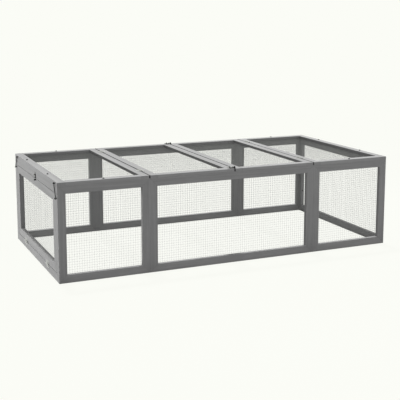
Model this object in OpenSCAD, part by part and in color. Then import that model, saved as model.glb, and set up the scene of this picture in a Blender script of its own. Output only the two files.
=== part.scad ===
// Low wire-mesh run for small animals: timber frames, welded mesh, two roof lids and an end door.
// X runs along the length, Y from the front wall to the back wall, Z up from the ground.

/* [Run] */
// Length of the run over its end frames
run_l = 1810; // [1200:10:2400]
// Width of the run over its front and back walls
run_w = 900; // [600:10:1200]
// Height of the timber from the ground to the top of the roof frames
run_h = 480; // [360:5:700]

/* [Boards] */
// Face width of the rails, the stiles and the roof boards
board_w = 39; // [30:0.5:55]
// Face width of the posts of the two end frames
post_w = 26; // [20:0.5:40]
// Thickness of the wall, end and door boards
wall_t = 20; // [16:0.5:28]
// Thickness of the roof boards
roof_t = 15; // [14:0.5:22]
// Size of the planed edge along each board
edge_cut = 0.5; // [0.5:0.1:2]
// Glue line between the boards of one frame
glue_line = 0.1; // [0.05:0.05:0.3]

/* [Clearances] */
// Gap between neighbouring roof frames
seam_gap = 4.5; // [3:0.5:5]
// Gap around the end door
door_gap = 1.5; // [1.5:0.5:4]
// Clearance under the lids, so that the hinges carry them
lid_clear = 0.3; // [0.2:0.1:1]
// Clearance of a screw in its pilot hole
hole_clear = 0.1; // [0.05:0.05:0.2]

/* [Mesh] */
// Thickness of the mesh
mesh_t = 1.2; // [0.8:0.1:2]
// Width of each drawn wire
mesh_wire = 2; // [1:0.5:4]
// Distance between the drawn wires, coarser than the real 12 mm
mesh_pitch = 86; // [80:1:140]
// Overlap of the mesh on its frame
mesh_lap = 10; // [6:1:16]

/* [Hinges] */
// Length of a hinge along its pin
hinge_l = 50; // [40:1:60]
// Width of one hinge leaf from the pin's axis
leaf_w = 17; // [14:0.5:22]
// Thickness of a hinge leaf
leaf_t = 1.2; // [0.8:0.1:1.6]
// Outer radius of the hinge knuckles
knuckle_r = 3.2; // [2.8:0.1:4]
// Gap between neighbouring knuckles
knuckle_gap = 0.4; // [0.2:0.1:0.8]
// Radius of the hinge pin
pin_r = 1.6; // [1.2:0.1:2]
// Running clearance of the pin in its knuckles
pin_clear = 0.05; // [0.02:0.01:0.1]
// Distance of a lid hinge's middle from the run's front or back face
lid_hinge_in = 140; // [80:5:200]
// Distance of a door hinge's middle from the run's front or back face
door_hinge_in = 220; // [120:5:280]

/* [Barrel bolts] */
// Length of a bolt's base plate
bolt_plate_l = 20; // [20:1:26]
// Width of a bolt's base plate and of its keeper
bolt_plate_w = 22; // [21:0.5:28]
// Thickness of a bolt's base plate
bolt_plate_t = 1.2; // [0.8:0.1:2]
// Radius of a bolt's rod
rod_r = 2.5; // [2:0.1:3]
// Sliding clearance of the rod in its guides
rod_clear = 0.15; // [0.1:0.05:0.3]
// Distance that a bolt slides
bolt_throw = 9.5; // [8:0.5:10]
// Distance of a lid bolt's middle from the run's front or back face
lid_bolt_in = 19.5; // [16:0.5:24]
// Place of the door bolt along the end, from the run's middle
door_bolt_y = -24; // [-60:1:60]

/* [Hooks] */
// Radius of the hook wire
hook_wire_r = 2; // [1.6:0.05:2.1]
// Length of a hook's straight shank from its pivot
hook_l = 67; // [60:1:74]
// Distance of the hook wire's middle from the end face
hook_off = 6; // [6:0.1:7]
// Distance of the front hook's pivot from the front face
hook_front_in = 36; // [34:1:40]
// Lean of the front hook towards the front
hook_front_lean = 25; // [22:1:27]
// Distance of the back hook's pivot from the back face
hook_back_in = 74; // [72:1:76]
// Lean of the back hook towards the back
hook_back_lean = 38; // [37:1:40]

/* [Screws] */
// Radius of a frame screw's shank
screw_r = 2; // [1.5:0.1:2.5]
// Radius of the head of a screw that lies sunk in a wall frame
screw_head_r = 4.2; // [3.5:0.1:4.5]
// Height of that head
screw_head_h = 2.4; // [2:0.1:2.8]
// Radius of a roof screw's raised head
roof_head_r = 4.5; // [4:0.1:5.5]
// Height of a roof screw's raised head
roof_head_h = 4.5; // [3:0.1:6]
// Depth of the counterbores that hide the wall screws
sink = 3; // [2.9:0.1:4]
// Bite of a screw in the second of the two boards that it joins
bite = 15; // [10:1:17]
// Distance of the roof screws from the outer faces
roof_screw_in = 14; // [8:0.5:15]
// Distance of the end rails' roof screws from the middle of the run
roof_screw_y = 220; // [100:5:350]
// Height of the lower wall screws
joint_low = 130; // [80:5:160]
// Height of the upper wall screws
joint_high = 335; // [200:5:350]
// Radius of a hardware screw's shank
pan_r = 1.2; // [1:0.1:1.4]
// Radius of a hardware screw's head
pan_head_r = 2.4; // [2:0.1:2.6]
// Height of a hardware screw's head
pan_head_h = 1; // [0.8:0.1:1.4]
// Length of a hardware screw under its head
pan_l = 12; // [8:0.5:13]

/* [Hidden] */
$fn = 32;

// Colours of the finishes
paint = [0.55, 0.55, 0.54];
galvanised = [0.82, 0.83, 0.82];
zinc = [0.72, 0.72, 0.72];
black = [0.12, 0.12, 0.12];

// Main planes
left_x = -run_l / 2;
right_x = run_l / 2;
front_y = -run_w / 2;
back_y = run_w / 2;
roof_z = run_h - roof_t;
seam_x = run_l / 4;
half_seam = seam_gap / 2;

// Each mitred board gives way by half of the glue line, measured along its length
mitre_gap = glue_line / sqrt(2);

// End door, inside the left end frame
door_y = run_w / 2 - wall_t - post_w - door_gap;
door_low = board_w + door_gap;
door_high = roof_z - board_w - door_gap;

// Height of the pin's axis over the boards that a hinge lies on
pin_h = knuckle_r;
pin_cap_h = 0.6;
knuckles = 5;
knuckle_l = hinge_l / knuckles;
leaf_screw_x = (leaf_w + knuckle_r) / 2;
leaf_screw_y = hinge_l / 3;

// Barrel bolt, along its slide: the seam is at 0, the plate before it and the keeper after it
bolt_edge = 3;
guide_l = 3;
guide_wall = 1.5;
rod_lift = 0.5;
rod_back = 0.5;
rod_tail = bolt_throw - guide_l / 2;
rod_nose = 0.8;
rod_h = bolt_plate_t + rod_lift + rod_r;
rod_tip = -bolt_edge - rod_back;
rod_l = bolt_plate_l + rod_tail;
knob_r = 1.75;
knob_h = 7;
knob_x = -bolt_edge - bolt_plate_l + guide_l + rod_back + knob_r;
keeper_l = 6;
keeper_clear = 0.5;
plate_screw_edge = 3.5;
plate_screw_y = bolt_plate_w / 2 - plate_screw_edge;

// Hooks and their rings
pivot_r = 1.5;
pivot_clear = 0.05;
pivot_head_r = 3.4;
pivot_head_h = 2.4;
hook_gap = 0.35;
loop_r = pivot_r + pivot_clear + hook_wire_r;
bend_r = 4;
hook_tip_l = 5;
ring_wire_r = 1.2;
ring_clear = 0.9;
ring_r = hook_wire_r + ring_clear + ring_wire_r;
ring_shank_l = 12;
pivot_z = roof_z + roof_t / 2;
hook_front_y = front_y + hook_front_in;
hook_back_y = back_y - hook_back_in;

// Screws: a head narrows to its crown above its shoulder, and a cross recess is cut to the shoulder
head_gap = 0.4;
tip_gap = 1;
slot_w = 0.9;
crown = 0.6;
shoulder = 0.4;
point_slope = 1.5;
wall_joint_l = board_w - sink + bite;
end_joint_l = post_w - sink + bite;
roof_screw_l = roof_t + bite;

// Reach of a cut past the surface that it opens
cut_over = 1;

function chamfered(a, b, c) =
    [[c, 0], [a - c, 0], [a, c], [a, b - c], [a - c, b], [c, b], [0, b - c], [0, c]];

// Boards with planed edges, each between its lowest and highest corner
module board_x(lo, hi)
    translate(lo) rotate([90, 0, 90])
        linear_extrude(hi[0] - lo[0]) polygon(chamfered(hi[1] - lo[1], hi[2] - lo[2], edge_cut));

module board_y(lo, hi)
    translate([lo[0], hi[1], lo[2]]) rotate([90, 0, 0])
        linear_extrude(hi[1] - lo[1]) polygon(chamfered(hi[0] - lo[0], hi[2] - lo[2], edge_cut));

module board_z(lo, hi)
    translate(lo)
        linear_extrude(hi[2] - lo[2]) polygon(chamfered(hi[0] - lo[0], hi[1] - lo[1], edge_cut));

// Board along X with its outer edge on Y 0 and both ends cut at 45 degrees
module mitred_board(length)
    intersection() {
        board_x([0, 0, 0], [length, board_w, wall_t]);
        translate([0, 0, -cut_over]) linear_extrude(wall_t + 2 * cut_over)
            polygon([
                [mitre_gap - cut_over, -cut_over],
                [length - mitre_gap + cut_over, -cut_over],
                [length - mitre_gap - board_w - cut_over, board_w + cut_over],
                [mitre_gap + board_w + cut_over, board_w + cut_over]
            ]);
    }

// Four boards mitred into a frame that lies on X and Y from the origin
module mitred_frame(w, h) {
    mitred_board(w);
    translate([w, h, 0]) rotate([0, 0, 180]) mitred_board(w);
    translate([0, h, 0]) rotate([0, 0, -90]) mitred_board(h);
    translate([w, 0, 0]) rotate([0, 0, 90]) mitred_board(h);
}

// Mitred frames that stand along the front and back walls and in the left end
module wall_boards(x0, x1, y0)
    translate([x0, y0 + wall_t, 0]) rotate([90, 0, 0])
        mitred_frame(x1 - x0, roof_z);

module door_boards()
    translate([left_x, -door_y, door_low]) rotate([90, 0, 90])
        mitred_frame(2 * door_y, door_high - door_low);

// Frame across an end, with two narrow posts between rails that run through
module end_frame_boards(x0) {
    x1 = x0 + wall_t;
    half_w = run_w / 2 - wall_t;
    z0 = board_w + glue_line;
    z1 = roof_z - board_w - glue_line;
    board_y([x0, -half_w, 0], [x1, half_w, board_w]);
    board_y([x0, -half_w, roof_z - board_w], [x1, half_w, roof_z]);
    board_z([x0, -half_w, z0], [x1, post_w - half_w, z1]);
    board_z([x0, half_w - post_w, z0], [x1, half_w, z1]);
}

// Two long boards across the run with two short ones between them, lying flat
module roof_boards(x0, x1, low) {
    inner_0 = x0 + board_w + glue_line;
    inner_1 = x1 - board_w - glue_line;
    board_y([x0, front_y, low], [x0 + board_w, back_y, run_h]);
    board_y([x1 - board_w, front_y, low], [x1, back_y, run_h]);
    board_x([inner_0, front_y, low], [inner_1, front_y + board_w, run_h]);
    board_x([inner_0, back_y - board_w, low], [inner_1, back_y, run_h]);
}

// Welded mesh over a window of the given size, with its corner at the origin
module mesh_sheet(w, h) {
    count_w = max(1, round(w / mesh_pitch));
    count_h = max(1, round(h / mesh_pitch));
    step_w = w / count_w;
    step_h = h / count_h;
    linear_extrude(mesh_t)
        difference() {
            translate([-mesh_lap, -mesh_lap])
                square([w + 2 * mesh_lap, h + 2 * mesh_lap]);
            for (i = [0:count_w - 1], j = [0:count_h - 1])
                translate([i * step_w + mesh_wire / 2, j * step_h + mesh_wire / 2])
                    square([step_w - mesh_wire, step_h - mesh_wire]);
        }
}

module wall_mesh(x0, x1, y_outer)
    color(galvanised)
        translate([x0 + board_w, y_outer, board_w]) rotate([90, 0, 0])
            mesh_sheet(x1 - x0 - 2 * board_w, roof_z - 2 * board_w);

module end_mesh(x_low, window_y, low, high)
    color(galvanised)
        translate([x_low, -window_y, low + board_w]) rotate([90, 0, 90])
            mesh_sheet(2 * window_y, high - low - 2 * board_w);

module roof_mesh(x0, x1, low)
    color(galvanised)
        translate([x0 + board_w, front_y + board_w, low - mesh_t])
            mesh_sheet(x1 - x0 - 2 * board_w, run_w - 2 * board_w);

// A screw with its head above the surface at Z 0 and its point down, with a cross recess
module screw(length, shank_r, head_r, head_h) {
    point = point_slope * shank_r;
    crown_r = crown * head_r;
    shoulder_h = shoulder * head_h;
    difference() {
        rotate_extrude()
            polygon([
                [0, head_h], [crown_r, head_h], [head_r, shoulder_h], [head_r, 0],
                [shank_r, 0], [shank_r, point - length], [0, -length]
            ]);
        for (turn = [0, 90])
            rotate([0, 0, turn])
                translate([-crown_r, -slot_w / 2, shoulder_h])
                    cube([2 * crown_r, slot_w, head_h]);
    }
}

module pilot(length, shank_r)
    translate([0, 0, -length - tip_gap])
        cylinder(r = shank_r + hole_clear, h = length + tip_gap + cut_over);

module frame_screw(length) screw(length, screw_r, screw_head_r, screw_head_h);

module roof_screw() screw(roof_screw_l, screw_r, roof_head_r, roof_head_h);

module pan_screw() screw(pan_l, pan_r, pan_head_r, pan_head_h);

// A hole for a hardware screw through a plate that lies on Z 0
module plate_hole(plate_t)
    translate([0, 0, -cut_over])
        cylinder(r = pan_r + hole_clear, h = plate_t + 2 * cut_over);

// A hole for a frame screw whose head lies sunk below the face at Z 0
module sunk_pilot(length) {
    translate([0, 0, -sink]) pilot(length, screw_r);
    translate([0, 0, -sink]) cylinder(r = screw_head_r + head_gap, h = sink + cut_over);
}

// Places on the roof and on the left end's outer face, with Z off the surface
module on_roof(x, y, turn = 0)
    translate([x, y, run_h]) rotate([0, 0, turn]) children();

module on_end(y, z, turn = 0)
    translate([left_x, y, z]) rotate([0, -90, 0]) rotate([0, 0, turn]) children();

module at_roof_screws(side) {
    for (y = [front_y + roof_screw_in, back_y - roof_screw_in])
        on_roof(side * (seam_x + run_l / 2) / 2, y) children();
    for (y = [-roof_screw_y, roof_screw_y])
        on_roof(side * (run_l / 2 - roof_screw_in), y) children();
}

// Screws along the length through the paired stiles of the front or back wall
module at_wall_joints(y_middle)
    for (x = [-seam_x, seam_x], z = [joint_low, joint_high])
        translate([x + board_w, y_middle, z]) rotate([0, 90, 0]) children();

// Screws across the run from an end frame's post into the front or back wall
module at_end_joints()
    for (side = [-1, 1], y = [-1, 1], z = [joint_low, joint_high])
        translate([side * (run_l / 2 - wall_t / 2), y * (run_w / 2 - wall_t - post_w), z])
            rotate([90 * y, 0, 0]) children();

module at_lid_hinges(side)
    for (y = [front_y + lid_hinge_in, back_y - lid_hinge_in])
        on_roof(side * seam_x, y, side > 0 ? 180 : 0) children();

module at_door_hinges()
    for (y = [front_y + door_hinge_in, back_y - door_hinge_in])
        on_end(y, board_w + door_gap / 2) children();

module at_lid_bolts()
    for (y = [front_y + lid_bolt_in, back_y - lid_bolt_in])
        on_roof(0, y) children();

module at_door_bolt() on_end(door_bolt_y, door_high + door_gap / 2, 180) children();

// Hinge, with its pin along Y over X 0, side -1 for the fixed leaf and 1 for the moving leaf
module at_leaf_screws(side)
    for (y = [-leaf_screw_y, 0, leaf_screw_y])
        translate([side * leaf_screw_x, y, 0]) children();

module leaf(side) {
    first = side < 0 ? 0 : 1;
    notch = knuckle_r + knuckle_gap;
    difference() {
        union() {
            translate([side < 0 ? -leaf_w : 0, -hinge_l / 2, 0])
                cube([leaf_w, hinge_l, leaf_t]);
            for (i = [first:2:knuckles - 1])
                translate([0, -hinge_l / 2 + i * knuckle_l + knuckle_gap / 2, pin_h])
                    rotate([-90, 0, 0]) cylinder(r = knuckle_r, h = knuckle_l - knuckle_gap);
        }
        for (i = [1 - first:2:knuckles - 1])
            translate([-notch, -hinge_l / 2 + i * knuckle_l - knuckle_gap / 2, -cut_over])
                cube([2 * notch, knuckle_l + knuckle_gap, 2 * pin_h + 2 * cut_over]);
        translate([0, -hinge_l / 2 - cut_over, pin_h]) rotate([-90, 0, 0])
            cylinder(r = pin_r + pin_clear, h = hinge_l + 2 * cut_over);
        at_leaf_screws(side) plate_hole(leaf_t);
    }
}

module hinge_pin() {
    cap_r = (pin_r + knuckle_r) / 2;
    translate([0, -hinge_l / 2 - pin_cap_h, pin_h]) rotate([-90, 0, 0]) {
        cylinder(r = pin_r, h = hinge_l + 2 * pin_cap_h);
        cylinder(r = cap_r, h = pin_cap_h);
        translate([0, 0, hinge_l + pin_cap_h]) cylinder(r = cap_r, h = pin_cap_h);
    }
}

module leaf_screws(side) at_leaf_screws(side) translate([0, 0, leaf_t]) pan_screw();

module leaf_pilots(side) at_leaf_screws(side) pilot(pan_l - leaf_t, pan_r);

// Barrel bolt, sliding along X towards its keeper
module guide_block(x0) {
    wall_r = rod_r + guide_wall;
    difference() {
        union() {
            translate([x0, -wall_r, 0]) cube([guide_l, 2 * wall_r, rod_h]);
            translate([x0, 0, rod_h]) rotate([0, 90, 0]) cylinder(r = wall_r, h = guide_l);
        }
        translate([x0 - cut_over, 0, rod_h]) rotate([0, 90, 0])
            cylinder(r = rod_r + rod_clear, h = guide_l + 2 * cut_over);
    }
}

module at_plate_screws()
    for (x = [guide_l, bolt_plate_l - guide_l], y = [-plate_screw_y, plate_screw_y])
        translate([x - bolt_edge - bolt_plate_l, y, 0]) children();

module at_keeper_screws()
    for (y = [-plate_screw_y, plate_screw_y])
        translate([bolt_edge + keeper_l / 2, y, 0]) children();

module bolt_plate() {
    x0 = -bolt_edge - bolt_plate_l;
    difference() {
        translate([x0, -bolt_plate_w / 2, 0]) cube([bolt_plate_l, bolt_plate_w, bolt_plate_t]);
        at_plate_screws() plate_hole(bolt_plate_t);
    }
    guide_block(x0);
    guide_block(-bolt_edge - guide_l);
}

// Strap bent over the rod's place, with its outer corners cut off
module keeper_strap() {
    inner_w = rod_r + keeper_clear;
    inner_h = rod_h + rod_r + keeper_clear;
    outer_w = inner_w + guide_wall;
    outer_h = inner_h + guide_wall;
    translate([bolt_edge, 0, 0]) rotate([90, 0, 90]) linear_extrude(keeper_l)
        difference() {
            polygon([
                [-outer_w, 0], [outer_w, 0], [outer_w, outer_h - guide_wall], [inner_w, outer_h],
                [-inner_w, outer_h], [-outer_w, outer_h - guide_wall]
            ]);
            translate([-inner_w, bolt_plate_t])
                square([2 * inner_w, inner_h - bolt_plate_t]);
        }
}

module bolt_keeper() {
    difference() {
        translate([bolt_edge, -bolt_plate_w / 2, 0]) cube([keeper_l, bolt_plate_w, bolt_plate_t]);
        at_keeper_screws() plate_hole(bolt_plate_t);
    }
    keeper_strap();
}

module bolt_rod() {
    translate([rod_tip - rod_l, 0, rod_h]) rotate([0, 90, 0]) {
        cylinder(r = rod_r, h = rod_l - rod_nose);
        translate([0, 0, rod_l - rod_nose]) cylinder(r1 = rod_r, r2 = rod_r - rod_nose, h = rod_nose);
    }
    translate([knob_x, 0, rod_h]) cylinder(r = knob_r, h = knob_h);
}

module plate_screws() at_plate_screws() translate([0, 0, bolt_plate_t]) pan_screw();

module keeper_screws() at_keeper_screws() translate([0, 0, bolt_plate_t]) pan_screw();

module plate_pilots() at_plate_screws() pilot(pan_l - bolt_plate_t, pan_r);

module keeper_pilots() at_keeper_screws() pilot(pan_l - bolt_plate_t, pan_r);

// Wire hook, hanging down -Z from its pivot on X, with its tip bent towards Y times side
module hook(side) {
    rotate([0, 90, 0]) rotate_extrude() translate([loop_r, 0]) circle(r = hook_wire_r);
    translate([0, 0, -hook_l]) cylinder(r = hook_wire_r, h = hook_l - loop_r);
    translate([0, side * bend_r, -hook_l]) rotate([90, 0, 90]) rotate([0, 0, side > 0 ? 180 : 270])
        rotate_extrude(angle = 90) translate([bend_r, 0]) circle(r = hook_wire_r);
    translate([0, side * bend_r, -hook_l - bend_r]) rotate([-90 * side, 0, 0]) {
        cylinder(r = hook_wire_r, h = hook_tip_l);
        translate([0, 0, hook_tip_l]) sphere(r = hook_wire_r);
    }
}

// Places on the end face with X along the pivot's axis, Y across and Z up, turned by the lean
module at_front_hook()
    translate([left_x - hook_off, hook_front_y, pivot_z]) rotate([-hook_front_lean, 0, 0]) children();

module at_back_hook()
    translate([left_x - hook_off, hook_back_y, pivot_z]) rotate([hook_back_lean, 0, 0]) children();

module pivot_screw() {
    collar_h = hook_off - hook_wire_r - hook_gap;
    head_z = hook_off + hook_wire_r + hook_gap;
    cylinder(r = (pivot_r + pivot_head_r) / 2, h = collar_h);
    translate([0, 0, head_z]) screw(head_z + pan_l, pivot_r, pivot_head_r, pivot_head_h);
}

module pivot_pilot() pilot(pan_l, pivot_r);

// Ring that holds a hook's tip, with its shank along X into the wood
module hook_ring(side)
    translate([0, side * (bend_r + hook_tip_l / 2), -hook_l - bend_r]) {
        rotate([90, 0, 0]) rotate_extrude() translate([ring_r, 0]) circle(r = ring_wire_r);
        translate([ring_r, 0, 0]) rotate([0, 90, 0])
            cylinder(r = ring_wire_r, h = hook_off - ring_r + ring_shank_l);
    }

module ring_pilot(side)
    translate([ring_r, side * (bend_r + hook_tip_l / 2), -hook_l - bend_r]) rotate([0, 90, 0])
        cylinder(r = ring_wire_r + hole_clear, h = hook_off - ring_r + ring_shank_l + tip_gap);

// Wall frames
module wall_frame(x0, x1, y0)
    color(paint) difference() {
        wall_boards(x0, x1, y0);
        at_wall_joints(y0 + wall_t / 2) sunk_pilot(wall_joint_l);
        at_end_joints() sunk_pilot(end_joint_l);
        for (side = [-1, 1])
            at_roof_screws(side) pilot(roof_screw_l, screw_r);
        at_front_hook() ring_pilot(1);
    }

module front_left_frame() wall_frame(left_x, -seam_x, front_y);
module front_middle_frame() wall_frame(-seam_x, seam_x, front_y);
module front_right_frame() wall_frame(seam_x, right_x, front_y);
module back_left_frame() wall_frame(left_x, -seam_x, back_y - wall_t);
module back_middle_frame() wall_frame(-seam_x, seam_x, back_y - wall_t);
module back_right_frame() wall_frame(seam_x, right_x, back_y - wall_t);

module left_end_frame()
    color(paint) difference() {
        end_frame_boards(left_x);
        at_end_joints() sunk_pilot(end_joint_l);
        at_roof_screws(-1) pilot(roof_screw_l, screw_r);
        at_door_hinges() leaf_pilots(-1);
        at_door_bolt() plate_pilots();
        at_back_hook() ring_pilot(-1);
    }

module right_end_frame()
    color(paint) difference() {
        end_frame_boards(right_x - wall_t);
        at_end_joints() sunk_pilot(end_joint_l);
        at_roof_screws(1) pilot(roof_screw_l, screw_r);
    }

// Fixed roof frames at the two ends
module roof_left_frame()
    color(paint) difference() {
        roof_boards(left_x, -seam_x - half_seam, roof_z);
        at_roof_screws(-1) pilot(roof_screw_l, screw_r);
        at_lid_hinges(-1) leaf_pilots(-1);
        for (y = [hook_front_y, hook_back_y])
            on_end(y, pivot_z) pivot_pilot();
    }

module roof_right_frame()
    color(paint) difference() {
        roof_boards(seam_x + half_seam, right_x, roof_z);
        at_roof_screws(1) pilot(roof_screw_l, screw_r);
        at_lid_hinges(1) leaf_pilots(-1);
    }

// Mesh of the fixed frames
module front_left_mesh() wall_mesh(left_x, -seam_x, front_y + wall_t + mesh_t);
module front_middle_mesh() wall_mesh(-seam_x, seam_x, front_y + wall_t + mesh_t);
module front_right_mesh() wall_mesh(seam_x, right_x, front_y + wall_t + mesh_t);
module back_left_mesh() wall_mesh(left_x, -seam_x, back_y - wall_t);
module back_middle_mesh() wall_mesh(-seam_x, seam_x, back_y - wall_t);
module back_right_mesh() wall_mesh(seam_x, right_x, back_y - wall_t);
module right_end_mesh() end_mesh(right_x - wall_t - mesh_t, run_w / 2 - wall_t - post_w, 0, roof_z);
module roof_left_mesh() roof_mesh(left_x, -seam_x - half_seam, roof_z);
module roof_right_mesh() roof_mesh(seam_x + half_seam, right_x, roof_z);

// Screws that hold the fixed frames together
module roof_screws()
    color(black)
        for (side = [-1, 1])
            at_roof_screws(side) roof_screw();

module wall_joint_screws()
    color(black)
        for (y = [front_y + wall_t / 2, back_y - wall_t / 2])
            at_wall_joints(y) translate([0, 0, -sink]) frame_screw(wall_joint_l);

module end_joint_screws()
    color(black)
        at_end_joints() translate([0, 0, -sink]) frame_screw(end_joint_l);

// Left lid, hinged on the left roof frame
module lid_left_frame()
    color(paint) difference() {
        roof_boards(half_seam - seam_x, -half_seam, roof_z + lid_clear);
        at_lid_hinges(-1) leaf_pilots(1);
        at_lid_bolts() plate_pilots();
    }

module lid_left_mesh() roof_mesh(half_seam - seam_x, -half_seam, roof_z + lid_clear);
module lid_left_hinge_fixed_leaves() color(zinc) at_lid_hinges(-1) leaf(-1);
module lid_left_hinge_moving_leaves() color(zinc) at_lid_hinges(-1) leaf(1);
module lid_left_hinge_pins() color(zinc) at_lid_hinges(-1) hinge_pin();
module lid_left_hinge_fixed_screws() color(zinc) at_lid_hinges(-1) leaf_screws(-1);
module lid_left_hinge_moving_screws() color(zinc) at_lid_hinges(-1) leaf_screws(1);

// Right lid, hinged on the right roof frame
module lid_right_frame()
    color(paint) difference() {
        roof_boards(half_seam, seam_x - half_seam, roof_z + lid_clear);
        at_lid_hinges(1) leaf_pilots(1);
        at_lid_bolts() keeper_pilots();
    }

module lid_right_mesh() roof_mesh(half_seam, seam_x - half_seam, roof_z + lid_clear);
module lid_right_hinge_fixed_leaves() color(zinc) at_lid_hinges(1) leaf(-1);
module lid_right_hinge_moving_leaves() color(zinc) at_lid_hinges(1) leaf(1);
module lid_right_hinge_pins() color(zinc) at_lid_hinges(1) hinge_pin();
module lid_right_hinge_fixed_screws() color(zinc) at_lid_hinges(1) leaf_screws(-1);
module lid_right_hinge_moving_screws() color(zinc) at_lid_hinges(1) leaf_screws(1);

// Barrel bolts across the middle seam of the roof
module lid_bolt_plates() color(black) at_lid_bolts() bolt_plate();
module lid_bolt_plate_screws() color(black) at_lid_bolts() plate_screws();
module lid_bolt_front() color(zinc) on_roof(0, front_y + lid_bolt_in) bolt_rod();
module lid_bolt_back() color(zinc) on_roof(0, back_y - lid_bolt_in) bolt_rod();
module lid_bolt_keepers() color(black) at_lid_bolts() bolt_keeper();
module lid_bolt_keeper_screws() color(black) at_lid_bolts() keeper_screws();

// End door, dropping down on hinges along its lower edge
module door_frame()
    color(paint) difference() {
        door_boards();
        at_door_hinges() leaf_pilots(1);
        at_door_bolt() keeper_pilots();
    }

module door_mesh() end_mesh(left_x + wall_t, door_y - board_w, door_low, door_high);
module door_hinge_fixed_leaves() color(zinc) at_door_hinges() leaf(-1);
module door_hinge_moving_leaves() color(zinc) at_door_hinges() leaf(1);
module door_hinge_pins() color(zinc) at_door_hinges() hinge_pin();
module door_hinge_fixed_screws() color(zinc) at_door_hinges() leaf_screws(-1);
module door_hinge_moving_screws() color(zinc) at_door_hinges() leaf_screws(1);

// Barrel bolt that drops from the left end frame into its keeper on the door
module door_bolt_plate() color(black) at_door_bolt() bolt_plate();
module door_bolt_plate_screws() color(black) at_door_bolt() plate_screws();
module door_bolt() color(zinc) at_door_bolt() bolt_rod();
module door_bolt_keeper() color(black) at_door_bolt() bolt_keeper();
module door_bolt_keeper_screws() color(black) at_door_bolt() keeper_screws();

// Wire hooks at the left end's upper corners
module hook_front() color(black) at_front_hook() hook(1);
module hook_back() color(black) at_back_hook() hook(-1);
module hook_pivot_screws()
    color(black)
        for (y = [hook_front_y, hook_back_y])
            on_end(y, pivot_z) pivot_screw();

module hook_rings()
    color(black) {
        at_front_hook() hook_ring(1);
        at_back_hook() hook_ring(-1);
    }

front_left_frame();
front_middle_frame();
front_right_frame();
back_left_frame();
back_middle_frame();
back_right_frame();
left_end_frame();
right_end_frame();
roof_left_frame();
roof_right_frame();
front_left_mesh();
front_middle_mesh();
front_right_mesh();
back_left_mesh();
back_middle_mesh();
back_right_mesh();
right_end_mesh();
roof_left_mesh();
roof_right_mesh();
roof_screws();
wall_joint_screws();
end_joint_screws();
lid_left_frame();
lid_left_mesh();
lid_left_hinge_fixed_leaves();
lid_left_hinge_moving_leaves();
lid_left_hinge_pins();
lid_left_hinge_fixed_screws();
lid_left_hinge_moving_screws();
lid_right_frame();
lid_right_mesh();
lid_right_hinge_fixed_leaves();
lid_right_hinge_moving_leaves();
lid_right_hinge_pins();
lid_right_hinge_fixed_screws();
lid_right_hinge_moving_screws();
lid_bolt_plates();
lid_bolt_plate_screws();
lid_bolt_front();
lid_bolt_back();
lid_bolt_keepers();
lid_bolt_keeper_screws();
door_frame();
door_mesh();
door_hinge_fixed_leaves();
door_hinge_moving_leaves();
door_hinge_pins();
door_hinge_fixed_screws();
door_hinge_moving_screws();
door_bolt_plate();
door_bolt_plate_screws();
door_bolt();
door_bolt_keeper();
door_bolt_keeper_screws();
hook_front();
hook_back();
hook_pivot_screws();
hook_rings();
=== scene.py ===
"""Low run for small animals: painted boards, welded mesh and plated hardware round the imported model."""

import math

import bmesh
import bpy
from bpy.props import FloatProperty, FloatVectorProperty, IntProperty, PointerProperty
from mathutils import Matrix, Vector


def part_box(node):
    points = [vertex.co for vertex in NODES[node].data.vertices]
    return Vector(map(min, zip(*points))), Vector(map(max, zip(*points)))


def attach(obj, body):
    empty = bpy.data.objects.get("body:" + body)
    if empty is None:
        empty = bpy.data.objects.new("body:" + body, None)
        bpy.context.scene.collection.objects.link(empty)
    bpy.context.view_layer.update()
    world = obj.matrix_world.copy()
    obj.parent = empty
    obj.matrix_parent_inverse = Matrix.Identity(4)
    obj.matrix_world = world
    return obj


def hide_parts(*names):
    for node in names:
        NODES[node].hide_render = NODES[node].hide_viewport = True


bl_info = {
    "name": "Small Animal Run",
    "version": (1, 0, 0),
    "blender": (4, 5, 0),
    "location": "3D View > Sidebar > Animal Run",
    "description": "Dresses a timber run with painted boards, welded mesh and plated hardware",
    "category": "Add Mesh",
}

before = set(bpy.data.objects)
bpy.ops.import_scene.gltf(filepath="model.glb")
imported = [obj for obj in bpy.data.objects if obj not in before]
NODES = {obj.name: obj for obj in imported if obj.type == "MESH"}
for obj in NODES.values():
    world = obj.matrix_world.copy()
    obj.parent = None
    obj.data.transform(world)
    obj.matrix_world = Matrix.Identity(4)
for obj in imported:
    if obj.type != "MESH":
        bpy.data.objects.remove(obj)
MM = 0.001

# The panels, each with the body that its frame and its mesh ride on
PANELS = {
    "front_left": "run",
    "front_middle": "run",
    "front_right": "run",
    "back_left": "run",
    "back_middle": "run",
    "back_right": "run",
    "right_end": "run",
    "roof_left": "run",
    "roof_right": "run",
    "lid_left": "lid_left",
    "lid_right": "lid_right",
    "door": "door",
}
MITRED_FRAMES = [
    "front_left_frame", "front_middle_frame", "front_right_frame", "back_left_frame",
    "back_middle_frame", "back_right_frame", "door_frame",
]
RAILS_THROUGH = ["left_end_frame", "right_end_frame"]
CROSS_BOARDS_THROUGH = ["roof_left_frame", "roof_right_frame", "lid_left_frame", "lid_right_frame"]
# Sides of the roof frames along which painted shade darkens the seam
SEAM_SIDES = {
    "roof_left_frame": (1,),
    "lid_left_frame": (-1, 1),
    "lid_right_frame": (-1,),
    "roof_right_frame": (-1,),
}
RODS = ["lid_bolt_front", "lid_bolt_back", "door_bolt"]

# What the light from the door end falls on: the outside of that end and its hardware
DOOR_END = [
    "left_end_frame", "door_frame", "front_left_frame", "back_left_frame", "roof_left_frame",
    "door_hinge_fixed_leaves", "door_hinge_moving_leaves", "door_hinge_pins",
    "door_hinge_fixed_screws", "door_hinge_moving_screws", "door_bolt_plate", "door_bolt_plate_screws",
    "door_bolt", "door_bolt_keeper", "door_bolt_keeper_screws",
    "hook_front", "hook_back", "hook_pivot_screws", "hook_rings",
]

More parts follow.
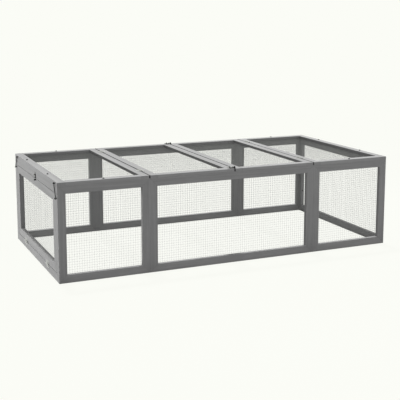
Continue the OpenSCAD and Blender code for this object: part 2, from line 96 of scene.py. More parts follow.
BOARD_W = 39 * MM
MESH_LAP = 10 * MM

# Distance between the two layers of wires as a share of their diameter, below one because they are welded
WELD = 0.9

HEX = {
    "paint": "#8F8F8F",
    "paint_thin": "#959595",
    "paint_thick": "#888888",
    "galvanised": "#8A8C8B",
    "zinc": "#B4B5B3",
    "black": "#161617",
    "backdrop": "#FBFCF6",
}

# Sockets of the colour Mix node
MIX_A = 6
MIX_B = 7
MIX_RESULT = 2


def linear(hex_code):
    """An sRGB hex value as the linear colour that Blender's sockets take."""
    channels = [int(hex_code[i:i + 2], 16) / 255 for i in (1, 3, 5)]
    return [c / 12.92 if c <= 0.04045 else ((c + 0.055) / 1.055) ** 2.4 for c in channels]


class RunPaintSettings(bpy.types.PropertyGroup):
    paint: FloatVectorProperty(
        name="Paint", description="Grey satin paint where it covers evenly",
        subtype="COLOR", size=3, min=0, max=1, default=linear(HEX["paint"]))
    paint_thin: FloatVectorProperty(
        name="Thin paint", description="Paint on the raised, harder grain",
        subtype="COLOR", size=3, min=0, max=1, default=linear(HEX["paint_thin"]))
    paint_thick: FloatVectorProperty(
        name="Thick paint", description="Paint that lies in the softer grain",
        subtype="COLOR", size=3, min=0, max=1, default=linear(HEX["paint_thick"]))
    grain_width: FloatProperty(
        name="Grain width", description="Distance between the streaks of the grain",
        subtype="DISTANCE", unit="LENGTH", min=1 * MM, default=4.5 * MM)
    grain_length: FloatProperty(
        name="Grain length", description="Length over which a streak fades",
        subtype="DISTANCE", unit="LENGTH", min=50 * MM, default=320 * MM)
    roughness: FloatProperty(
        name="Roughness", description="Roughness of the satin paint",
        subtype="FACTOR", min=0, max=1, default=0.7)


class RunMetalSettings(bpy.types.PropertyGroup):
    galvanised: FloatVectorProperty(
        name="Galvanised wire", description="Colour of the welded mesh",
        subtype="COLOR", size=3, min=0, max=1, default=linear(HEX["galvanised"]))
    zinc: FloatVectorProperty(
        name="Zinc plate", description="Colour of the hinges, their screws and the bolts' rods",
        subtype="COLOR", size=3, min=0, max=1, default=linear(HEX["zinc"]))
    black: FloatVectorProperty(
        name="Black coating", description="Colour of the bolts' plates, the hooks and the frame screws",
        subtype="COLOR", size=3, min=0, max=1, default=linear(HEX["black"]))


class RunMeshSettings(bpy.types.PropertyGroup):
    pitch: FloatProperty(
        name="Pitch", description="Distance between neighbouring wires",
        subtype="DISTANCE", unit="LENGTH", min=6 * MM, default=12.15 * MM)
    wire: FloatProperty(
        name="Wire", description="Diameter of the wire",
        subtype="DISTANCE", unit="LENGTH", min=0.4 * MM, default=0.55 * MM)
    slack: FloatProperty(
        name="Slack", description="How far the sheet strays from flat inside its frame",
        subtype="DISTANCE", unit="LENGTH", min=0, default=0.25 * MM)
    sides: IntProperty(
        name="Sides", description="Sides of each wire", min=4, max=12, default=6)
    staple_step: FloatProperty(
        name="Staple step", description="Distance between the staples along a frame",
        subtype="DISTANCE", unit="LENGTH", min=40 * MM, default=110 * MM)
    staple_w: FloatProperty(
        name="Staple width", description="Width of a staple's crown",
        subtype="DISTANCE", unit="LENGTH", min=4 * MM, default=7 * MM)


class RunStageSettings(bpy.types.PropertyGroup):
    backdrop: FloatVectorProperty(
        name="Backdrop", description="Colour of the floor and of what lies behind it",
        subtype="COLOR", size=3, min=0, max=1, default=linear(HEX["backdrop"]))
    camera_at: FloatVectorProperty(
        name="Camera place", description="Where the camera stands",
        subtype="TRANSLATION", unit="LENGTH", size=3, default=(-1.884, -4.298, 1.2626))
    camera_yaw: FloatProperty(
        name="Camera yaw", description="Turn of the camera to the right of straight ahead",
        subtype="ANGLE", unit="ROTATION", default=math.radians(23.75))
    camera_pitch: FloatProperty(
        name="Camera pitch", description="Tilt of the camera below the horizon",
        subtype="ANGLE", unit="ROTATION", default=math.radians(9.14))
    lens: FloatProperty(
        name="Lens", description="Focal length in millimetres on a 36 mm sensor",
        subtype="DISTANCE_CAMERA", min=20, default=78.66)
    shift_y: FloatProperty(
        name="Shift", description="Vertical shift of the picture, as a share of its width",
        subtype="FACTOR", min=-0.2, max=0.2, default=-0.125)
    sky: FloatProperty(
        name="Sky", description="Even light from all round", subtype="FACTOR", min=0, max=2, default=0.45)
    top_strength: FloatProperty(
        name="Top light", description="Strength of the even light from high behind the run, in W/m2",
        min=0, default=3.8)
    top_angle: FloatProperty(
        name="Top light's width", description="Angle over which the top light spreads its shadows",
        subtype="ANGLE", unit="ROTATION", min=0, default=math.radians(5))
    back_power: FloatProperty(
        name="Back light", description="Power of the light behind the fixed end, in watts",
        min=0, default=23)
    side_power: FloatProperty(
        name="Side light", description="Power of the low light that falls on the door end alone, in watts",
        min=0, default=102)
    front_power: FloatProperty(
        name="Front light", description="Power of the weak broad light before the run, in watts",
        min=0, default=10)


def add_node(tree, kind, inputs=None, **settings):
    """Adds a node, gives it its settings, and sets or links its inputs."""
    node = tree.nodes.new(kind)
    for name, value in settings.items():
        setattr(node, name, value)
    for key, value in (inputs or {}).items():
        if isinstance(value, bpy.types.NodeSocket):
            tree.links.new(value, node.inputs[key])
        else:
            node.inputs[key].default_value = value
    return node


def new_material(name):
    """A material with an empty node tree."""
    material = bpy.data.materials.new(name)
    material.use_nodes = True
    material.node_tree.nodes.clear()
    return material


def opaque(colour):
    """A colour of three channels with full alpha."""
    return (*colour, 1)


def wear(obj, material):
    """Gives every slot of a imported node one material."""
    if not obj.material_slots:
        obj.data.materials.append(material)
    for slot in obj.material_slots:
        slot.material = material


def plane_axes(node):
    """The two axes that a flat node spans, the horizontal one first, and the axis through it."""
    low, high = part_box(node)
    size = high - low
    through = min(range(3), key=lambda axis: size[axis])
    across, up = [axis for axis in range(3) if axis != through]
    return across, up, through


def board_layout(tree, node, joint):
    """Tells a frame's boards apart: place in the grain, number of the board, distance from a joint."""
    across, up, through = plane_axes(node)
    low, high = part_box(node)
    middle = (low + high) / 2
    half = (high - low) / 2
    place = add_node(tree, "ShaderNodeTexCoord").outputs["Object"]
    axes = add_node(tree, "ShaderNodeSeparateXYZ", {0: place}).outputs

    # Distance of a point from the frame's outer edges, and the side that it lies on
    inset = {}
    side = {}
    for axis in (across, up):
        off = add_node(
            tree, "ShaderNodeMath", {0: axes[axis], 1: middle[axis]}, operation="SUBTRACT").outputs[0]
        reach = add_node(tree, "ShaderNodeMath", {0: off}, operation="ABSOLUTE").outputs[0]
        inset[axis] = add_node(
            tree, "ShaderNodeMath", {0: half[axis], 1: reach}, operation="SUBTRACT").outputs[0]
        side[axis] = add_node(tree, "ShaderNodeMath", {0: off}, operation="SIGN").outputs[0]

    # Below zero on the boards that run across, and zero at the joints
    first, second = {
        "mitred": (inset[up], inset[across]),
        "rails": (inset[up], BOARD_W),
        "cross_boards": (BOARD_W, inset[across]),
    }[joint]
    joint_line = add_node(
        tree, "ShaderNodeMath", {0: first, 1: second}, operation="SUBTRACT").outputs[0]
    runs_across = add_node(
        tree, "ShaderNodeMath", {0: joint_line, 1: 0.0}, operation="LESS_THAN").outputs[0]

    # The grain runs along each board, and each of the four boards has a number of its own
    along = add_node(
        tree, "ShaderNodeMix", {"Factor": runs_across, "A": axes[up], "B": axes[across]}).outputs[0]
    over = add_node(
        tree, "ShaderNodeMix", {"Factor": runs_across, "A": axes[across], "B": axes[up]}).outputs[0]
    which = add_node(
        tree, "ShaderNodeMix", {"Factor": runs_across, "A": side[across], "B": side[up]}).outputs[0]
    board = add_node(
        tree, "ShaderNodeMath", {0: runs_across, 1: 3.0, 2: which}, operation="MULTIPLY_ADD").outputs[0]
    grain_at = add_node(tree, "ShaderNodeCombineXYZ", {0: along, 1: over, 2: axes[through]}).outputs[0]
    return grain_at, board, joint_line


def wood_grain(tree, grain_at, board):
    """Fine streaks, broad growth rings and soft patches, with each board cut from another place."""
    paint = bpy.context.scene.run_paint
    patch_size = 40 * MM
    board_offset = 7.3
    rings_along = 0.6
    rings_over = 0.3
    shift = add_node(
        tree, "ShaderNodeMath", {0: board, 1: board_offset}, operation="MULTIPLY").outputs[0]
    streak_at = add_node(
        tree, "ShaderNodeVectorMath",
        {0: grain_at, 1: (1 / paint.grain_length, 1 / paint.grain_width, 1 / paint.grain_width)},
        operation="MULTIPLY").outputs[0]
    streak = add_node(
        tree, "ShaderNodeTexNoise",
        {"Vector": streak_at, "W": shift, "Scale": 1.0, "Detail": 4.0, "Roughness": 0.62, "Distortion": 0.5},
        noise_dimensions="4D").outputs["Fac"]
    ring_scale = (
        rings_along / paint.grain_length, rings_over / paint.grain_width, rings_over / paint.grain_width)
    rings_at = add_node(
        tree, "ShaderNodeVectorMath", {0: grain_at, 1: ring_scale}, operation="MULTIPLY").outputs[0]
    rings = add_node(
        tree, "ShaderNodeTexNoise",
        {"Vector": rings_at, "W": shift, "Scale": 1.0, "Detail": 1.0, "Roughness": 0.5, "Distortion": 1.2},
        noise_dimensions="4D").outputs["Fac"]
    patch = add_node(
        tree, "ShaderNodeTexNoise",
        {"Vector": grain_at, "W": shift, "Scale": 1 / patch_size, "Detail": 2.0},
        noise_dimensions="4D").outputs["Fac"]
    return streak, rings, patch


def paint_colour(tree, streak, rings):
    """Grey paint that lies thick in the soft grain and thin on the hard grain."""
    paint = bpy.context.scene.run_paint
    thick = add_node(
        tree, "ShaderNodeMapRange", {"Value": streak, "From Min": 0.36, "From Max": 0.52}).outputs[0]
    thin = add_node(
        tree, "ShaderNodeMapRange", {"Value": rings, "From Min": 0.46, "From Max": 0.70}).outputs[0]
    colour = add_node(
        tree, "ShaderNodeMix",
        {0: thick, MIX_A: opaque(paint.paint_thick), MIX_B: opaque(paint.paint)},
        data_type="RGBA").outputs[MIX_RESULT]
    return add_node(
        tree, "ShaderNodeMix", {0: thin, MIX_A: colour, MIX_B: opaque(paint.paint_thin)},
        data_type="RGBA").outputs[MIX_RESULT]


def painted_seam_shade(tree, node, level):
    """Paints shade along the edges where two roof frames meet, as the shadow that falls into the seam."""
    edge = 1.5 * MM
    edge_core = 0.7
    shade = 0.2
    across = plane_axes(node)[0]
    low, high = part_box(node)
    place = add_node(tree, "ShaderNodeTexCoord").outputs["Object"]
    axes = add_node(tree, "ShaderNodeSeparateXYZ", {0: place}).outputs
    for side in SEAM_SIDES.get(node, ()):
        seam_at = high[across] if side > 0 else low[across]
        off = add_node(
            tree, "ShaderNodeMath", {0: axes[across], 1: seam_at}, operation="SUBTRACT").outputs[0]
        from_seam = add_node(tree, "ShaderNodeMath", {0: off}, operation="ABSOLUTE").outputs[0]
        # Painted shade, darkest at the seam's edge
        seam_shade_mask = add_node(
            tree, "ShaderNodeMapRange",
            {"Value": from_seam, "From Min": edge_core * edge, "From Max": edge,
             "To Min": shade, "To Max": 1.0}).outputs[0]
        level = add_node(
            tree, "ShaderNodeMath", {0: level, 1: seam_shade_mask}, operation="MULTIPLY").outputs[0]
    return level


def painted_softwood(node, joint):
    """Planed softwood under satin paint: faint raised grain along each board, a fine line at each joint."""
    paint = bpy.context.scene.run_paint
    crack = 0.3 * MM
    crack_shade = 0.7
    tint = 0.06
    material = new_material(f"Painted softwood, {node}")
    tree = material.node_tree
    grain_at, board, joint_line = board_layout(tree, node, joint)
    streak, rings, patch = wood_grain(tree, grain_at, board)

    # Each board takes the paint a little differently, and patchily from the roller
    chance = add_node(
        tree, "ShaderNodeTexWhiteNoise", {"W": board}, noise_dimensions="1D").outputs["Value"]
    unevenness = add_node(tree, "ShaderNodeMath", {0: chance, 1: patch}, operation="ADD").outputs[0]
    level = add_node(
        tree, "ShaderNodeMapRange",
        {"Value": unevenness, "From Min": 0.4, "From Max": 1.6,
         "To Min": 1 - tint, "To Max": 1 + tint}).outputs[0]

    # The boards' joints show as darker lines, and painted shade darkens the roof's seams
    from_joint = add_node(tree, "ShaderNodeMath", {0: joint_line}, operation="ABSOLUTE").outputs[0]
    in_joint = add_node(
        tree, "ShaderNodeMapRange",
        {"Value": from_joint, "From Min": crack, "From Max": 2 * crack,
         "To Min": crack_shade, "To Max": 1.0}).outputs[0]
    level = add_node(tree, "ShaderNodeMath", {0: level, 1: in_joint}, operation="MULTIPLY").outputs[0]
    level = painted_seam_shade(tree, node, level)
    colour = add_node(
        tree, "ShaderNodeVectorMath", {0: paint_colour(tree, streak, rings), "Scale": level},
        operation="SCALE").outputs[0]

    # Relief of the raised grain under the paint, about a tenth of a millimetre high
    relief = add_node(tree, "ShaderNodeMath", {0: streak, 1: rings}, operation="ADD").outputs[0]
    relief = add_node(tree, "ShaderNodeMath", {0: relief, 1: in_joint}, operation="ADD").outputs[0]
    normal = add_node(
        tree, "ShaderNodeBump", {"Strength": 0.5, "Distance": 0.25 * MM, "Height": relief}).outputs[0]
    shader = add_node(
        tree, "ShaderNodeBsdfPrincipled",
        {"Base Color": colour, "Roughness": paint.roughness, "IOR": 1.48, "Specular IOR Level": 0.2,
         "Normal": normal})
    add_node(tree, "ShaderNodeOutputMaterial", {"Surface": shader.outputs[0]})
    return material


def plated_steel(name, colour, roughness, spangle):
    """Zinc on steel: a soft grey metal with a faint crystal pattern, dull where the zinc has whitened."""
    bloom_size = 5 * spangle
    material = new_material(name)
    tree = material.node_tree
    place = add_node(tree, "ShaderNodeTexCoord").outputs["Object"]
    crystal = add_node(
        tree, "ShaderNodeTexVoronoi", {"Vector": place, "Scale": 1 / spangle}).outputs["Color"]
    bloom = add_node(
        tree, "ShaderNodeTexNoise", {"Vector": place, "Scale": 1 / bloom_size, "Detail": 3.0}).outputs["Fac"]
    cell = add_node(tree, "ShaderNodeSeparateColor", {0: crystal}).outputs[0]
    mixed = add_node(tree, "ShaderNodeMath", {0: cell, 1: bloom}, operation="ADD").outputs[0]
    level = add_node(
        tree, "ShaderNodeMapRange",
        {"Value": mixed, "From Min": 0.3, "From Max": 1.7, "To Min": 0.88, "To Max": 1.12}).outputs[0]
    shade = add_node(
        tree, "ShaderNodeVectorMath", {0: colour, "Scale": level}, operation="SCALE").outputs[0]
    dulled = add_node(
        tree, "ShaderNodeMapRange",
        {"Value": bloom, "From Min": 0.3, "From Max": 0.7, "To Min": roughness - 0.08,
         "To Max": roughness + 0.1}).outputs[0]
    bright = add_node(
        tree, "ShaderNodeMapRange",
        {"Value": bloom, "From Min": 0.3, "From Max": 0.7, "To Min": 0.85, "To Max": 0.4}).outputs[0]
    shader = add_node(
        tree, "ShaderNodeBsdfPrincipled",
        {"Base Color": shade, "Metallic": bright, "Roughness": dulled})
    add_node(tree, "ShaderNodeOutputMaterial", {"Surface": shader.outputs[0]})
    return material


def coated_steel(name, colour, roughness, grit):
    """Black coating baked on steel: an even dark skin with a very fine orange peel."""
    rubbed_size = 12.5 * grit
    material = new_material(name)
    tree = material.node_tree
    place = add_node(tree, "ShaderNodeTexCoord").outputs["Object"]
    peel = add_node(
        tree, "ShaderNodeTexNoise", {"Vector": place, "Scale": 1 / grit, "Detail": 2.0}).outputs["Fac"]
    rubbed = add_node(
        tree, "ShaderNodeTexNoise", {"Vector": place, "Scale": 1 / rubbed_size, "Detail": 3.0}).outputs["Fac"]
    level = add_node(
        tree, "ShaderNodeMapRange",
        {"Value": rubbed, "From Min": 0.35, "From Max": 0.7, "To Min": 0.8, "To Max": 1.5}).outputs[0]
    shade = add_node(
        tree, "ShaderNodeVectorMath", {0: colour, "Scale": level}, operation="SCALE").outputs[0]
    normal = add_node(
        tree, "ShaderNodeBump", {"Strength": 0.3, "Distance": 0.05 * MM, "Height": peel}).outputs[0]
    shader = add_node(
        tree, "ShaderNodeBsdfPrincipled",
        {"Base Color": shade, "Roughness": roughness, "Specular IOR Level": 0.25, "Normal": normal})
    add_node(tree, "ShaderNodeOutputMaterial", {"Surface": shader.outputs[0]})
    return material


def select_only(*objects):
    """Deselects everything, then selects these objects and makes the first one active."""
    if bpy.context.mode != "OBJECT":
        bpy.ops.object.mode_set(mode="OBJECT")
    bpy.ops.object.select_all(action="DESELECT")
    for obj in objects:
        obj.select_set(True)
    if objects:
        bpy.context.view_layer.objects.active = objects[0]


def apply_modifiers(obj):
    """Applies every modifier of a piece, in order."""
    select_only(obj)
    for modifier in list(obj.modifiers):
        bpy.ops.object.modifier_apply(modifier=modifier.name)


def select_parts(obj, kind, test):
    """In edit mode, selects the faces or edges whose middle and direction pass the test."""
    mesh = bmesh.from_edit_mesh(obj.data)
    bpy.ops.mesh.select_all(action="DESELECT")
    for part in getattr(mesh, kind):
        part.select_set(test(part))
    bmesh.update_edit_mesh(obj.data)


def unit(axis):
    """The unit vector along one axis."""
    return Vector([1.0 if i == axis else 0.0 for i in range(3)])


def add_wires(centre, run, step, length, count, pitch):
    """Straight wires along the axis run, repeated along the axis step, evenly about the centre."""
    mesh = bpy.context.scene.run_mesh
    bend_step = 60 * MM
    turn = {0: (0, math.pi / 2, 0), 1: (math.pi / 2, 0, 0), 2: (0, 0, 0)}[run]
    first = centre - unit(step) * pitch * (count - 1) / 2
    select_only()
    bpy.ops.mesh.primitive_cylinder_add(
        vertices=mesh.sides, radius=mesh.wire / 2, depth=length, location=first, rotation=turn)
    wire = bpy.context.object
    bpy.ops.object.transform_apply(location=True, rotation=True, scale=True)
    bpy.ops.object.mode_set(mode="EDIT")
    select_parts(wire, "edges", lambda edge: edge.calc_length() > length / 2)
    bpy.ops.mesh.subdivide(number_cuts=max(2, int(length / bend_step)))
    bpy.ops.object.mode_set(mode="OBJECT")
    rows = wire.modifiers.new("Rows", "ARRAY")
    rows.use_relative_offset = False
    rows.use_constant_offset = True
    rows.constant_offset_displace = unit(step) * pitch
    rows.count = count
    apply_modifiers(wire)
    return wire


def sheet_seat(name):
    """How a sheet lies on its frame: its axes, size and middle, the way inwards and the face of the wood."""
    node = f"{name}_mesh"
    through = plane_axes(node)[2]
    low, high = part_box(node)
    middle = (low + high) / 2
    wood_low, wood_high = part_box(f"{name}_frame")
    inward = 1 if middle[through] > (wood_low[through] + wood_high[through]) / 2 else -1
    face = low[through] if inward > 0 else high[through]
    return plane_axes(node), high - low, middle, inward, face


def weld_panel(name, body, material, slack_texture):
    """One sheet of welded mesh on the inner face of its frame."""
    mesh = bpy.context.scene.run_mesh
    stub = 2 * MM
    hold = 45 * MM
    node = f"{name}_mesh"
    (across, up, through), size, middle, inward, face = sheet_seat(name)
    layers = {across: face + inward * mesh.wire / 2, up: face + inward * mesh.wire * (0.5 + WELD)}
    sets = []
    for run, step in ((across, up), (up, across)):
        count = int((size[step] - 2 * stub) / mesh.pitch) + 1
        centre = middle.copy()
        centre[through] = layers[run]
        sets.append(add_wires(centre, run, step, size[run], count, mesh.pitch))
    select_only(*sets)
    bpy.ops.object.join()
    sheet = bpy.context.object
    sheet.name = f"{name}_welded_mesh"
    sheet.data.name = sheet.name
    free = sheet.vertex_groups.new(name="Free of the frame")
    for vertex in sheet.data.vertices:
        edge = min(size[a] / 2 - MESH_LAP - abs(vertex.co[a] - middle[a]) for a in (across, up))
        free.add([vertex.index], min(max(edge / hold, 0), 1), "REPLACE")
    slack = sheet.modifiers.new("Slack", "DISPLACE")
    slack.texture = slack_texture
    slack.texture_coords = "LOCAL"
    slack.direction = "RGB_TO_XYZ"
    slack.strength = mesh.slack
    slack.vertex_group = free.name
    apply_modifiers(sheet)
    bpy.ops.object.shade_smooth_by_angle(angle=math.radians(70))
    sheet.data.materials.append(material)
    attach(sheet, body)
    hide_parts(node)


def bend_staple(length, thickness, leg):
    """One staple with its crown along X over the origin and its two legs down -Z."""
    rounding = 0.45 * thickness
    touch = 0.01 * MM
    facing_down = -0.9
    select_only()
    bpy.ops.mesh.primitive_cube_add(size=1, location=(0, 0, 0))
    staple = bpy.context.object
    bpy.ops.object.mode_set(mode="EDIT")
    bpy.ops.transform.resize(value=(length, thickness, thickness))
    select_parts(staple, "edges", lambda edge: edge.calc_length() > length / 2)
    bpy.ops.mesh.subdivide(number_cuts=int(length / thickness) - 1)
    select_parts(
        staple, "faces",
        lambda f: f.normal.z < facing_down and abs(f.calc_center_median().x) > length / 2 - thickness)
    bpy.ops.mesh.extrude_region_move(TRANSFORM_OT_translate={"value": (0, 0, -leg)})
    select_parts(
        staple, "edges",
        lambda e: all(abs(v.co.x) > length / 2 - touch and v.co.z > 0 for v in e.verts))
    bpy.ops.mesh.bevel(offset=rounding, segments=2, affect="EDGES")
    bpy.ops.mesh.select_all(action="SELECT")
    bpy.ops.mesh.normals_make_consistent(inside=False)
    bpy.ops.object.mode_set(mode="OBJECT")
    return staple


def staple_places(name):
    """Where the staples of one panel stand on the wood, with the axis that each crown follows."""
    mesh = bpy.context.scene.run_mesh
    corner = 45 * MM
    (across, up, through), size, middle, inward, face = sheet_seat(name)
    places = []
    for run, step in ((across, up), (up, across)):
        span = size[run] - 2 * corner
        gaps = max(1, round(span / mesh.staple_step))
        for side in (-1, 1):
            for i in range(gaps + 1):
                at = middle.copy()
                wanted = i * span / gaps - span / 2
                at[run] += round(wanted / mesh.pitch) * mesh.pitch
                at[step] += side * (size[step] - MESH_LAP) / 2
                at[through] = face
                places.append((at, run, through, inward))
    return places


class RunOperator:
    """What the operators of this add-on share."""

    bl_options = {"REGISTER", "UNDO"}


class RUN_OT_paint_frames(RunOperator, bpy.types.Operator):
    """Paints the boards of every frame, with the grain along each board"""

    bl_idname = "animal_run.paint_frames"
    bl_label = "Paint the frames"

    def execute(self, context):
        for nodes, joint in (
                (MITRED_FRAMES, "mitred"), (RAILS_THROUGH, "rails"), (CROSS_BOARDS_THROUGH, "cross_boards")):
            for node in nodes:
                wear(NODES[node], painted_softwood(node, joint))
        return {"FINISHED"}


class RUN_OT_weld_mesh(RunOperator, bpy.types.Operator):
    """Lays a sheet of fine welded mesh in every frame"""

    bl_idname = "animal_run.weld_mesh"
    bl_label = "Lay the welded mesh"

    def execute(self, context):
        metal = context.scene.run_metal
        material = plated_steel(
            "Galvanised steel wire, welded", metal.galvanised, roughness=0.42, spangle=3 * MM)
        slack = bpy.data.textures.new("Slack of the mesh", "CLOUDS")
        slack.cloud_type = "COLOR"
        slack.noise_scale = 0.3
        for name, body in PANELS.items():
            weld_panel(name, body, material, slack)
        return {"FINISHED"}


class RUN_OT_drive_staples(RunOperator, bpy.types.Operator):
    """Staples each sheet of mesh to the boards round it"""

    bl_idname = "animal_run.drive_staples"
    bl_label = "Drive the staples"

    def execute(self, context):
        mesh = context.scene.run_mesh
        thickness = 0.9 * MM
        galvanised = context.scene.run_metal.galvanised

        # The crown rests on the outer layer of wires
        height = (1 + WELD) * mesh.wire + thickness / 2
        material = plated_steel(
            "Galvanised steel staple wire", galvanised, roughness=0.35, spangle=2 * MM)
        pattern = bend_staple(mesh.staple_w, thickness, height)
        for name, body in PANELS.items():
            copies = []
            for at, run, through, inward in staple_places(name):
                copy = pattern.copy()
                copy.data = pattern.data.copy()
                context.collection.objects.link(copy)
                out = unit(through) * inward
                along = unit(run)
                turn = (along, out.cross(along), out)
                for vertex in copy.data.vertices:
                    local = vertex.co + Vector((0, 0, height))
                    vertex.co = at + sum((turn[i] * local[i] for i in range(3)), Vector())
                copies.append(copy)
            select_only(*copies)
            bpy.ops.object.join()
            staples = bpy.context.object
            staples.name = f"{name}_mesh_staples"
            staples.data.name = staples.name
            staples.data.materials.append(material)
            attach(staples, body)
        select_only(pattern)
        bpy.ops.object.delete()
        return {"FINISHED"}


class RUN_OT_plate_hinges(RunOperator, bpy.types.Operator):
    """Gives the hinges, their screws and the rods of the bolts their zinc plate"""

    bl_idname = "animal_run.plate_hinges"
    bl_label = "Plate the hinges and rods"

    def execute(self, context):
        zinc = context.scene.run_metal.zinc
        leaf = plated_steel("Zinc-plated steel sheet, pressed", zinc, roughness=0.38, spangle=4 * MM)
        turned = plated_steel("Zinc-plated steel, turned", zinc, roughness=0.3, spangle=2 * MM)
        for name, obj in NODES.items():
            if "hinge" in name or name in RODS:
                wear(obj, leaf if name.endswith("leaves") else turned)
        return {"FINISHED"}


class RUN_OT_coat_hardware(RunOperator, bpy.types.Operator):
    """Gives the bolts' plates and keepers, the hooks, the rings and their screws a black coating"""

    bl_idname = "animal_run.coat_hardware"
    bl_label = "Coat the bolts and hooks"

    def execute(self, context):
        black = context.scene.run_metal.black
        coat = coated_steel("Black powder coat on steel", black, roughness=0.42, grit=0.6 * MM)
        for name, obj in NODES.items():
            if ("bolt" in name or "hook" in name) and name not in RODS:
                wear(obj, coat)
        return {"FINISHED"}


class RUN_OT_finish_screws(RunOperator, bpy.types.Operator):
    """Blackens the screws that hold the frames together"""

    bl_idname = "animal_run.finish_screws"
    bl_label = "Blacken the frame screws"

    def execute(self, context):
        black = context.scene.run_metal.black
        phosphate = coated_steel("Black phosphate on steel screws", black, roughness=0.55, grit=0.4 * MM)
        for name in ("roof_screws", "wall_joint_screws", "end_joint_screws"):
            wear(NODES[name], phosphate)
        return {"FINISHED"}


def backdrop_floor(stage):
    """Pale floor: shows the backdrop with a soft shadow near the run, and lights it as a dark grey would."""
    bounce = 0.25
    shadow_tone = 0.62
    shadow_share = 0.03
    near = 1.3
    far = 2.8
    material = new_material("Matt white floor")
    tree = material.node_tree
    place = add_node(tree, "ShaderNodeTexCoord").outputs["Object"]
    reach = add_node(tree, "ShaderNodeVectorMath", {0: place}, operation="LENGTH").outputs["Value"]
    shadowed = add_node(
        tree, "ShaderNodeMapRange",
        {"Value": reach, "From Min": near, "From Max": far, "To Min": shadow_share, "To Max": 0.0},
        interpolation_type="SMOOTHSTEP").outputs[0]
    plain = add_node(
        tree, "ShaderNodeEmission", {"Color": opaque(stage.backdrop), "Strength": 1.0}).outputs[0]
    lit = add_node(tree, "ShaderNodeBsdfDiffuse", {"Color": opaque([shadow_tone] * 3)}).outputs[0]
    shown = add_node(tree, "ShaderNodeMixShader", {0: shadowed, 1: plain, 2: lit}).outputs[0]
    grey = add_node(tree, "ShaderNodeBsdfDiffuse", {"Color": opaque([bounce] * 3)}).outputs[0]
    seen = seen_directly(tree)
    mixed = add_node(tree, "ShaderNodeMixShader", {0: seen, 1: grey, 2: shown}).outputs[0]
    add_node(tree, "ShaderNodeOutputMaterial", {"Surface": mixed})
    return material


def seen_directly(tree):
    """One for rays from the camera, in reflections and through glass, and nought for the rest."""
    rays = add_node(tree, "ShaderNodeLightPath").outputs
    seen = add_node(
        tree, "ShaderNodeMath", {0: rays["Is Camera Ray"], 1: rays["Is Glossy Ray"]}, operation="MAXIMUM")
    return add_node(
        tree, "ShaderNodeMath", {0: seen.outputs[0], 1: rays["Is Transmission Ray"]},
        operation="MAXIMUM").outputs[0]


def aimed_light(data, place, target):
    """Stands a light so that it faces its target and doesn't show itself."""
    light = bpy.data.objects.new(data.name, data)
    bpy.context.scene.collection.objects.link(light)
    light.location = place
    light.rotation_euler = (Vector(target) - Vector(place)).to_track_quat("-Z", "Y").to_euler()
    light.visible_camera = False
    light.visible_glossy = False
    return light


def soft_light(name, place, target, size, power):
    """A soft rectangular light."""
    data = bpy.data.lights.new(name, "AREA")
    data.shape = "RECTANGLE"
    data.size, data.size_y = size
    data.energy = power
    return aimed_light(data, place, target)


def lay_floor(stage):
    """A wide floor just below the run."""
    floor_size = 40
    gap = 0.5 * MM
    select_only()
    bpy.ops.mesh.primitive_plane_add(size=floor_size, location=(0, 0, -gap))
    floor = bpy.context.object
    floor.name = "Floor"
    bpy.ops.object.transform_apply(location=True, rotation=True, scale=True)
    floor.data.materials.append(backdrop_floor(stage))


def even_sky(stage):
    """Even light from all round, with the backdrop's colour where the sky itself shows."""
    world = bpy.data.worlds.new("Even sky")
    world.use_nodes = True
    tree = world.node_tree
    tree.nodes.clear()
    light = add_node(
        tree, "ShaderNodeBackground", {"Color": opaque([1, 1, 1]), "Strength": stage.sky}).outputs[0]
    shown = add_node(
        tree, "ShaderNodeBackground", {"Color": opaque(stage.backdrop), "Strength": 1.0}).outputs[0]
    mixed = add_node(
        tree, "ShaderNodeMixShader", {0: seen_directly(tree), 1: light, 2: shown}).outputs[0]
    add_node(tree, "ShaderNodeOutputWorld", {"Surface": mixed})
    bpy.context.scene.world = world


def light_run(stage):
    """Lights the run from above, from behind its fixed end, from its door end and weakly from the front."""
    top = bpy.data.lights.new("Top light", "SUN")
    top.energy = stage.top_strength
    top.angle = stage.top_angle
    aimed_light(top, place=(0, 1.75, 5.0), target=(0, 0, 0.4))
    soft_light(
        "Back light", place=(1.6, 1.2, 1.6), target=(0.6, 0, 0.48), size=(0.8, 0.8),
        power=stage.back_power)
    side = soft_light(
        "Side light", place=(-4.2, 1.0, 0.3), target=(-0.9, 0.0, 0.3), size=(1.2, 0.3),
        power=stage.side_power)
    side.light_linking.receiver_collection = bpy.data.collections.new("Door end")
    for name in DOOR_END:
        side.light_linking.receiver_collection.objects.link(NODES[name])
    soft_light(
        "Front light", place=(0.2, -2.6, 0.5), target=(0.1, -0.45, 0.25), size=(3.0, 0.9),
        power=stage.front_power)


def stand_camera(stage):
    """Stands the camera where the picture was taken."""
    lens = bpy.data.cameras.new("Camera")
    lens.lens = stage.lens
    lens.sensor_width = 36
    lens.shift_y = stage.shift_y
    lens.clip_end = 100
    camera = bpy.data.objects.new("Camera", lens)
    bpy.context.scene.collection.objects.link(camera)
    camera.location = stage.camera_at
    camera.rotation_euler = (math.pi / 2 - stage.camera_pitch, 0, -stage.camera_yaw)
    bpy.context.scene.camera = camera


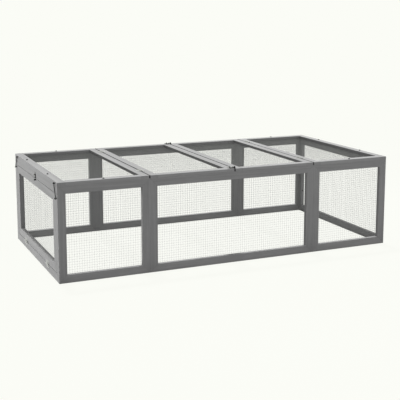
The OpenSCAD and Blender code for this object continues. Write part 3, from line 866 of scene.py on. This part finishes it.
class RUN_OT_set_stage(RunOperator, bpy.types.Operator):
    """Lays the floor, lights the run softly and stands the camera where the picture was taken"""

    bl_idname = "animal_run.set_stage"
    bl_label = "Set the stage"

    def execute(self, context):
        stage = context.scene.run_stage
        lay_floor(stage)
        even_sky(stage)
        light_run(stage)
        stand_camera(stage)
        context.scene.view_settings.view_transform = "Standard"
        return {"FINISHED"}


class RUN_PT_sidebar(bpy.types.Panel):
    """Lists the steps that dress the run"""

    bl_idname = "RUN_PT_sidebar"
    bl_label = "Small Animal Run"
    bl_space_type = "VIEW_3D"
    bl_region_type = "UI"
    bl_category = "Animal Run"

    def draw(self, context):
        scene = context.scene
        for settings in (scene.run_paint, scene.run_metal, scene.run_mesh, scene.run_stage):
            for name in settings.__annotations__:
                self.layout.prop(settings, name)
        for operator in OPERATORS:
            self.layout.operator(operator.bl_idname)


OPERATORS = (
    RUN_OT_paint_frames, RUN_OT_weld_mesh, RUN_OT_drive_staples, RUN_OT_plate_hinges,
    RUN_OT_coat_hardware, RUN_OT_finish_screws, RUN_OT_set_stage,
)
SETTINGS = {
    "run_paint": RunPaintSettings,
    "run_metal": RunMetalSettings,
    "run_mesh": RunMeshSettings,
    "run_stage": RunStageSettings,
}


def register():
    for name, group in SETTINGS.items():
        bpy.utils.register_class(group)
        setattr(bpy.types.Scene, name, PointerProperty(type=group))
    for operator in OPERATORS:
        bpy.utils.register_class(operator)
    bpy.utils.register_class(RUN_PT_sidebar)


def unregister():
    bpy.utils.unregister_class(RUN_PT_sidebar)
    for operator in reversed(OPERATORS):
        bpy.utils.unregister_class(operator)
    for name, group in SETTINGS.items():
        delattr(bpy.types.Scene, name)
        bpy.utils.unregister_class(group)


def main():
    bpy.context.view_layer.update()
    register()
    bpy.ops.animal_run.set_stage()
    bpy.ops.animal_run.paint_frames()
    bpy.ops.animal_run.weld_mesh()
    bpy.ops.animal_run.drive_staples()
    bpy.ops.animal_run.plate_hinges()
    bpy.ops.animal_run.coat_hardware()
    bpy.ops.animal_run.finish_screws()


if __name__ == "__main__":
    main()
